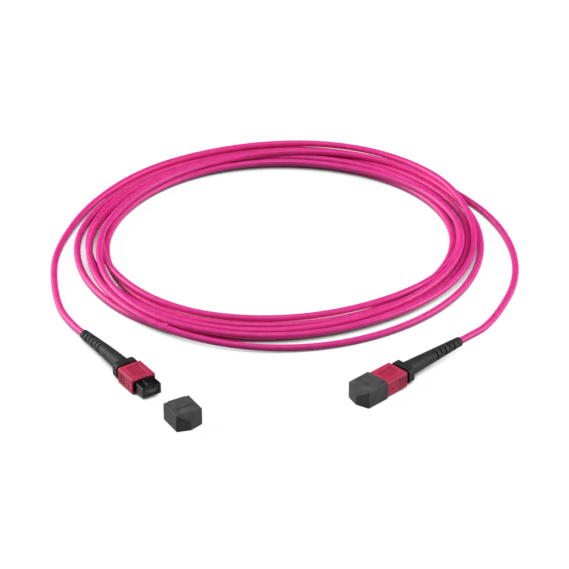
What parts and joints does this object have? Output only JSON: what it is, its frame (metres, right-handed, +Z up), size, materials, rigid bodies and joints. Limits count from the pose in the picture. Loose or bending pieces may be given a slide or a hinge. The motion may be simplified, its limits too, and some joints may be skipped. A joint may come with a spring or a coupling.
{
  "type": "fibre optic cable",
  "caption": "Coiled flexible fibre lead ending in rectangular push-pull plugs with sprung sleeves, slotted boots and dust caps, for joining multi-fibre ports.",
  "frame": {"origin": "middle of the ground box of the plugs and caps, on the surface that the lead lies on", "axes": "+X from the open plug towards the capped plug, +Y from the plugs towards the coil, +Z up"},
  "size_m": [0.2314, 0.2702, 0.0092],
  "materials": {
    "cable_jacket": "satin magenta jacket",
    "boot_rubber": "matt dark grey elastomer",
    "crimp_metal": "plain plated metal",
    "push_plastic": "matt black",
    "housing_plastic": "satin black",
    "sleeve_plastic": "satin crimson",
    "spring_steel": "bright wire",
    "ferrule_resin": "dense dark resin, polished end",
    "keeper_metal": "stamped plate",
    "ferrule_boot_rubber": "matt black",
    "ribbon_coating": "pale coating",
    "cap_plastic": "satin mid grey"
  },
  "bodies": {
    "cable_assembly": {"cable_coil": "cable_jacket", "cable_tail_a": "cable_jacket", "cable_tail_b": "cable_jacket", "dust_cap_a": "cap_plastic", "boot_a": "boot_rubber", "crimp_ring_a": "crimp_metal", "spring_push_a": "push_plastic", "inner_housing_a": "housing_plastic", "sleeve_springs_a": "spring_steel", "ferrule_spring_a": "spring_steel", "boot_b": "boot_rubber", "crimp_ring_b": "crimp_metal", "spring_push_b": "push_plastic", "inner_housing_b": "housing_plastic", "sleeve_springs_b": "spring_steel", "ferrule_spring_b": "spring_steel"},
    "sleeve_a": {"coupling_sleeve_a": "sleeve_plastic"},
    "ferrule_group_a": {"ferrule_a": "ferrule_resin", "pin_keeper_a": "keeper_metal", "ferrule_boot_a": "ferrule_boot_rubber", "fibre_ribbon_a": "ribbon_coating"},
    "sleeve_b": {"coupling_sleeve_b": "sleeve_plastic"},
    "ferrule_group_b": {"ferrule_b": "ferrule_resin", "pin_keeper_b": "keeper_metal", "ferrule_boot_b": "ferrule_boot_rubber", "fibre_ribbon_b": "ribbon_coating"},
    "cap_b": {"dust_cap_b": "cap_plastic"}
  },
  "joints": [
    {"name": "sleeve_slide_a", "type": "slide", "parent": "cable_assembly", "child": "sleeve_a", "axis": [-0.5592, 0.829, 0], "range_m": [0, 0.0015], "stiffness_N_per_m": 400, "deforming": ["sleeve_springs_a"]},
    {"name": "ferrule_float_a", "type": "slide", "parent": "cable_assembly", "child": "ferrule_group_a", "axis": [-0.5592, 0.829, 0], "range_m": [0, 0.0006], "stiffness_N_per_m": 5000, "deforming": ["ferrule_spring_a"]},
    {"name": "sleeve_slide_b", "type": "slide", "parent": "cable_assembly", "child": "sleeve_b", "axis": [0.7254, 0.6884, 0], "range_m": [0, 0.0015], "stiffness_N_per_m": 400, "deforming": ["sleeve_springs_b"]},
    {"name": "ferrule_float_b", "type": "slide", "parent": "cable_assembly", "child": "ferrule_group_b", "axis": [0.7254, 0.6884, 0], "range_m": [0, 0.0006], "stiffness_N_per_m": 5000, "deforming": ["ferrule_spring_b"]},
    {"name": "cap_pull_b", "type": "slide", "parent": "cable_assembly", "child": "cap_b", "axis": [-0.7254, -0.6884, 0], "range_m": [0, 0.012]}
  ]
}
